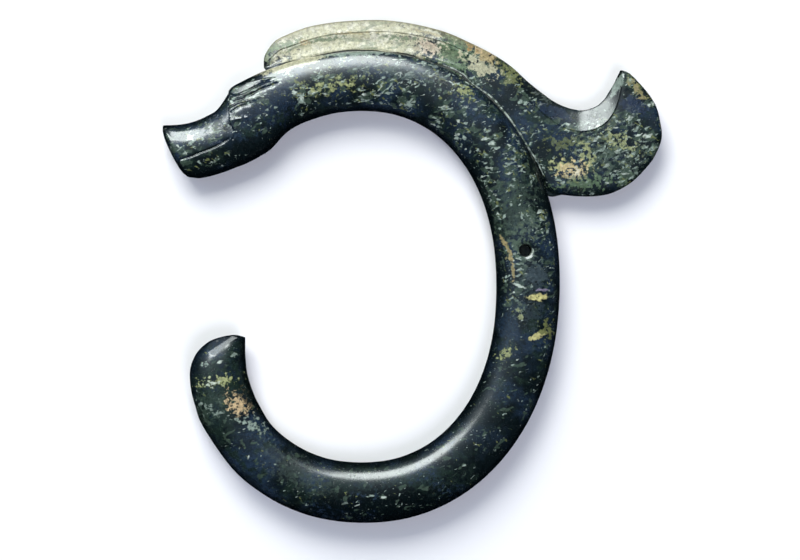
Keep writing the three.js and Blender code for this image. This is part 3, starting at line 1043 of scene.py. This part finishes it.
# Patches and veins in the stone, painted shade and highlights, given in the same way, with their colour and
# strength
TOP_ARC_PATCHES = [
    ((-257, 342), (38, 56), -20, 3, HEAD_BLUE, 0.85),
    ((-20, 396), (120, 22), -5, 3, SMOKE_BLUE, 0.5),
    # Under the mane: cream stone that also carries the highlight to the border, then a painted highlight
    ((-236, 411), (84, 13), 15, 1.5, CREAM, 0.9),
    ((-110, 433), (110, 9), 1, 2, PALE_FLECK_AND_HIGHLIGHT, 0.7),
    ((-162, 366), (64, 18), 8, 7, OLIVE, 0.75),
    ((-168, 364), (44, 12), 8, 9, YELLOW_GREEN, 0.8),
    ((99, 357), (24, 14), -20, 6, OLIVE, 0.8),
    ((100, 356), (16, 9), -20, 7, YELLOW_GREEN, 0.7),
]
HEAD_PATCHES = [
    ((-290, 325), (80, 34), 25, 2, HEAD_BLUE, 0.8),
    ((-395, 262), (42, 18), 15, 2, HEAD_BLUE, 0.8),
    ((-392, 280), (26, 30), 0, 2, DEEP_BLUE, 0.5),
]
DARK_TONES_AND_SHADE = [
    # Painted shade: the lower edge of the head
    ((-300, 255), (110, 26), 30, 2, BLACK_GREEN, 0.9),
    ((205, 120), (52, 120), 0, 3, GREEN_HAZE, 0.55),
    ((-54, -436), (220, 64), 0, 3, DEEP_GREEN, 0.75),
    ((-385, -265), (70, 110), -20, 2, DEEP_GREEN, 0.7),
    # Painted shade: the inner side of the right arc, and the lower half of the bottom arc
    ((178, -5), (17, 84), 0, 2, BLACK_GREEN, 0.85),
    ((-30, -462), (250, 52), 0, 2, SHADE_BLACK, 0.9),
    # A painted sheen round the gloss streak on the inner side of the bottom arc
    ((-230, -395), (90, 34), -32, 3, GREY_GREEN, 0.25),
    ((150, -330), (90, 110), 40, 2, BLACK_GREEN, 0.6),
]
HOLE_PATCHES = [
    ((215, 50), (34, 44), 0, 7, MOSS, 0.45),
    ((236, -40), (34, 120), 0, 3, SMOKE_BLUE, 0.35),
    ((222, 62), (36, 66), -8, 4, GREY_GREEN, 0.4),
    ((238, 84), (18, 30), 10, 4, GREY_GREEN, 0.45),
    ((246, -8), (27, 24), 0, 1, SMOKE_BLUE, 0.75),
    ((187, 47), (29, 5.5), -58, 2, TAN, 0.95),
    ((194, 27), (9, 9), 0, 3, TAN, 0.9),
    ((199, 0), (27, 4.5), -88, 2, TAN, 0.95),
    ((210, -27), (16, 3), -20, 1, WHITE_FLECK_AND_HIGHLIGHT, 0.9),
    ((256, -37), (17, 2.6), 3, 1, LILAC, 0.9),
    ((244, -51), (28, 9), 5, 1.2, YELLOW, 1.0),
    ((238, -51), (14, 3.6), 12, 3, OLIVE, 0.9),
    ((211, -78), (10, 27), 6, 5, GREY_GREEN, 0.9),
    ((211, -88), (7, 17), 6, 6, YELLOW_GREEN, 0.6),
    ((250, -126), (29, 8), 18, 2.5, YELLOW, 0.9),
    ((264, -114), (14, 20), 20, 6, OLIVE, 0.9),
    ((185, -162), (23, 12), 38, 4, OLIVE, 0.9),
    ((185, -162), (18, 9), 38, 6, YELLOW_GREEN, 0.8),
    # A painted highlight: the lit lower right wall of the hole
    ((228, 40), (13.5, 13.5), 0, 0.6, WHITE_FLECK_AND_HIGHLIGHT, 0.85),
    ((190, -110), (26, 36), 0, 1, SLATE_BLUE, 0.7),
]
TAIL_PATCHES = [
    ((-395, -250), (40, 60), -15, 3, GREEN_HAZE, 0.45),
    ((-385, -222), (50, 32), 8, 3, DEEP_GREEN, 0.9),
    ((-384, -218), (40, 12), 8, 4, OLIVE, 0.9),
    ((-384, -216), (37, 10), 8, 6, YELLOW_GREEN, 0.95),
    ((-395, -221), (16, 7), 0, 7, WHITE_FLECK_AND_HIGHLIGHT, 0.8),
    ((-345, -262), (33, 22), -50, 3.5, PEACH, 1.0),
    ((-316, -304), (28, 15), -38, 8, GREY_GREEN, 0.8),
    ((-318, -303), (20, 11), -38, 10, PALE_FLECK_AND_HIGHLIGHT, 0.8),
    ((-335, -252), (14, 16), 0, 12, GROOVE_BROWN, 0.9),
    ((-400, -272), (20, 5), -24, 12, PALE_FLECK_AND_HIGHLIGHT, 0.7),
    ((-411, -184), (7, 6), 0, 4, PALE_FLECK_AND_HIGHLIGHT, 0.9),
    ((-381, -180), (8, 5), 20, 4, WHITE_FLECK_AND_HIGHLIGHT, 0.9),
    ((-353, -165), (7, 5), 0, 5, PALE_FLECK_AND_HIGHLIGHT, 0.8),
]
CREAM_PATCH = ((-130, 462), (196, 78), -2)
MANE_PATCHES = [
    ((84, 438), (50, 52), -20, 4, MOSS, 1.0),
    ((116, 430), (40, 40), -30, 5, MOSS, 0.8),
    ((185, 402), (40, 24), -40, 6, OLIVE, 0.7),
    ((196, 394), (26, 16), -40, 8, YELLOW_GREEN, 0.2),
    CREAM_PATCH + (2.2, CREAM, 1.0),
    ((30, 446), (30, 17), -20, 4, PINK_CREAM, 0.9),
    ((136, 410), (46, 19), -28, 3.5, CREAM, 0.9),
    ((136, 442), (38, 15), -35, 4, PEACH, 0.95),
    ((150, 425), (30, 11), -32, 6, TAN, 0.7),
    ((118, 450), (15, 10), -35, 5, RUST, 0.9),
]
MANE_STREAKS = [
    ((-5, 450), (44, 8), -10, 7, MOSS, 0.35),
    ((-254, 451), (42, 9), 16, 5, MOSS, 0.85),
    ((-212, 457), (12, 7), 10, 4, RUST, 0.5),
    ((-174, 461), (40, 6), 5, 5, MOSS, 0.8),
    ((-120, 473), (60, 3), 1, 4, TAN, 0.7),
    ((-25, 465), (40, 6), -6, 6, MOSS, 0.85),
    ((30, 474), (40, 3), -12, 4, TAN, 0.7),
    ((-282, 440), (12, 26), -20, 5, MOSS, 0.7),
]
CURL_PATCHES = [
    ((283, 315), (40, 14), -20, 2, DEEP_BLUE, 0.6),
    ((440, 330), (30, 20), -20, 2, DEEP_BLUE, 0.8),
    ((308, 256), (40, 18), 5, 7, OLIVE, 0.7),
    ((385, 240), (72, 46), -10, 8, GREY_GREEN, 0.5),
    ((411, 262), (30, 14), -30, 9, YELLOW_GREEN, 0.7),
    ((350, 228), (14, 26), 15, 7, YELLOW_GREEN, 0.75),
    ((296, 208), (22, 14), 10, 7, YELLOW_GREEN, 0.8),
    ((320, 199), (32, 19), 5, 5, WARM_CREAM, 0.95),
    ((322, 196), (16, 9), 5, 9, PALE_CREAM, 0.8),
    # Painted shade: the lower edge of the lobe
    ((334, 163), (78, 13), 4, 2, BLACK_GREEN, 0.85),
    # A painted highlight on the upper part of the curl's bevel
    ((409, 372), (8, 30), -24, 2, PALE_FLECK_AND_HIGHLIGHT, 0.7),
    ((352, 178), (60, 14), 5, 7, MOSS, 0.7),
    ((446, 364), (32, 10), -50, 5, OLIVE, 0.7),
    ((441, 372), (12, 8), -50, 8, TAN, 0.6),
    ((453, 352), (12, 8), -50, 8, TAN, 0.6),
]


# How far off the middle plane the body's flanks begin, and where they are full; nearer it, painted shade
FLANK = (4.5 * MM, 9.5 * MM)

# The share of flecks rises up the picture between these heights, and is never under the least
FLECKS_RISE = (-0.11, 0.035)
LEAST_SHARE = 0.5
TAIL_SHARE = 0.6
HEAD_THINNING = 0.35
TAIL_PLACE = ((-380, -240), (90, 110), 0, 2)
HEAD_PLACE = ((-340, 270), (140, 74), 30, 2)
SNOUT_DULL_PLACE = ((-390, 283), (28, 25), -10, 4)
BODY_ROUGHNESS = 0.22
DULL_ROUGHNESS = 0.35
STONE_BUMP = 0.25


def fleck_share(stone):
    """How many flecks the body has: most along the top, fewer on the head and tail, and fewest below."""
    tree = stone.tree
    height = add(tree, "ShaderNodeSeparateXYZ", {0: stone.place}).outputs["Y"]
    tail = math_step(tree, "MULTIPLY", stone.patch(*TAIL_PLACE), TAIL_SHARE)
    share = math_step(tree, "MAXIMUM", smooth_step(tree, height, *FLECKS_RISE), tail)
    share = math_step(tree, "MAXIMUM", share, LEAST_SHARE)
    thinned = math_step(tree, "MULTIPLY", stone.patch(*HEAD_PLACE), HEAD_THINNING)
    return math_step(tree, "MULTIPLY", share, math_step(tree, "SUBTRACT", 1, thinned))


def jade_body(groups):
    """The dark jade of the body. Flecks lie on the flanks; the sides are painted nearly black as shade."""
    stone = Stone("jade_body", groups, BLACK_GREEN)
    tree = stone.tree
    flank = smooth_step(tree, off_middle(stone), *FLANK)
    dark_stone(stone)
    paint_patches(stone, HEAD_PATCHES + DARK_TONES_AND_SHADE)
    rich = 0.0
    for place in RICH_PLACES:
        rich = math_step(tree, "MAXIMUM", rich, stone.patch(*place))
    rich = math_step(tree, "MULTIPLY", rich, flank)
    fleck_layers(stone, math_step(tree, "MULTIPLY", fleck_share(stone), flank), rich)
    # Painted shade: the sides between the flanks and the walls of the hole, nearly black
    stone.paint(math_step(tree, "SUBTRACT", 1, flank), SHADE_BLACK, 0.8)
    paint_patches(stone, TOP_ARC_PATCHES + HOLE_PATCHES + TAIL_PATCHES)
    dull = math_step(tree, "MULTIPLY", stone.patch(*SNOUT_DULL_PLACE), DULL_ROUGHNESS)
    return stone.finish(math_step(tree, "ADD", dull, BODY_ROUGHNESS), STONE_BUMP)


# How far off the middle plane the edge of the dark mane, the bevel and the sharp rim begin to darken, and
# where each is darkest. Each darkening is painted shade
EDGE_SHADE = (2.9 * MM, 1.3 * MM)
BEVEL_SHADE = (2.4 * MM, 1 * MM)
RIM_SHADE_LIMITS = (1 * MM, 0.5 * MM)
PALE_PLACE = ((-70, 462), (240, 90), -4, 1)
WORN_PLACE = ((400, 335), (50, 62), -20, 2)
MANE_ROUGHNESS = 0.2
CREAM_ROUGHNESS = 0.4
WORN_ROUGHNESS = 0.12


def jade_mane(groups):
    """Dark jade whose front runs out through green and rust into cream."""
    stone = Stone("jade_mane", groups, BLACK_GREEN)
    tree = stone.tree
    dark_stone(stone)
    fleck_layers(stone, 1.0, stone.patch(*CURL_RICH_PLACE))
    rise = off_middle(stone)
    # Painted shade: the mane's edges near the middle plane
    stone.paint(smooth_step(tree, rise, *EDGE_SHADE), BLACK_GREEN, 0.8)
    paint_patches(stone, CURL_PATCHES + MANE_PATCHES)
    cream = stone.patch(*CREAM_PATCH)
    cloud = noise(tree, stone.ragged, 160, 4.0, 0.65)
    stone.paint(math_step(tree, "MULTIPLY", cream, smooth_step(tree, cloud, 0.46, 0.62)), PALE_CREAM)
    streaks = stone.flecks(8, 3.2, 260, 0.57)
    stone.paint(math_step(tree, "MULTIPLY", cream, streaks), MOSS, 0.5)
    paint_patches(stone, MANE_STREAKS)
    pale = stone.patch(*PALE_PLACE)
    # Painted shade: the cream front's bevel and sharp rim
    bevel = smooth_step(tree, rise, *BEVEL_SHADE)
    stone.paint(math_step(tree, "MULTIPLY", pale, bevel), RIM_SHADE, 0.4)
    rim = smooth_step(tree, rise, *RIM_SHADE_LIMITS)
    stone.paint(math_step(tree, "MULTIPLY", pale, rim), RIM_SHADE, 0.9)
    wear_and_sheen = math_step(tree, "MULTIPLY", stone.patch(*WORN_PLACE), WORN_ROUGHNESS)
    rough = math_step(tree, "ADD", math_step(tree, "MULTIPLY", cream, CREAM_ROUGHNESS), wear_and_sheen)
    return stone.finish(math_step(tree, "ADD", rough, MANE_ROUGHNESS), STONE_BUMP)


def jade_edge(groups):
    """The pale edge along the mane's border, with darker gaps: partly wear, partly a painted highlight."""
    stone = Stone("jade_edge", groups, WHITE_FLECK_AND_HIGHLIGHT)
    edge_gaps = noise(stone.tree, stone.place, 350, 3.0, 0.6)
    stone.paint(smooth_step(stone.tree, edge_gaps, 0.47, 0.56), GREY_GREEN)
    stone.paint(stone.patch((255, 195), (26, 60), 25, 3), SMOKE_BLUE, 0.5)
    return stone.finish(roughness=0.25, bump=STONE_BUMP)


def jade_cut(groups):
    """The border's groove and the nostrils, dull and painted dark brown as shade in these hollows."""
    stone = Stone("jade_cut", groups, GROOVE_BROWN)
    stone.paint(noise(stone.tree, stone.place, 400, 2.0), BLACK_GREEN)
    return stone.finish(roughness=0.55, bump=0.3)


def floor_material():
    material = bpy.data.materials.new("pale_floor")
    material.use_nodes = True
    shader = material.node_tree.nodes["Principled BSDF"]
    shader.inputs["Base Color"].default_value = FLOOR_COLOUR
    shader.inputs["Roughness"].default_value = 0.9
    shader.inputs["Specular IOR Level"].default_value = 0
    return material


SKY_WARD = (-0.35, 0.6, 0.72)
SKY_COLOUR = (0.62, 0.82, 1.0, 1)
SKY_BLACK = (0.0, 0.0, 0.0, 1)
SKY_GLOW = (0.55, 1.0)
SKY_STRENGTH = 0.75


def make_world():
    """A dim studio: pale blue towards the lamp's side, and dark on the far side and below."""
    world = bpy.data.worlds.new("studio")
    world.use_nodes = True
    tree = world.node_tree
    background = tree.nodes["Background"]
    direction = add(tree, "ShaderNodeTexCoord").outputs["Generated"]
    towards = vector_step(tree, "DOT_PRODUCT", {0: direction, 1: SKY_WARD}, "Value")
    glow = smooth_step(tree, towards, *SKY_GLOW)
    tree.links.new(blend(tree, glow, SKY_BLACK, SKY_COLOUR), background.inputs["Color"])
    background.inputs["Strength"].default_value = SKY_STRENGTH
    bpy.context.scene.world = world


make_camera()
groups = {
    "ragged": ragged_place_group(),
    "patch": patch_group(),
    "flecks": flecks_group(),
    "polish": polish_group(),
}
dragon = make_dragon([jade_body(groups), jade_mane(groups), jade_cut(groups), jade_edge(groups)])
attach(dragon, "root")
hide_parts("jade_dragon")

make_floor(floor_material())
make_world()
make_lights()
bpy.context.scene.view_settings.view_transform = "Standard"
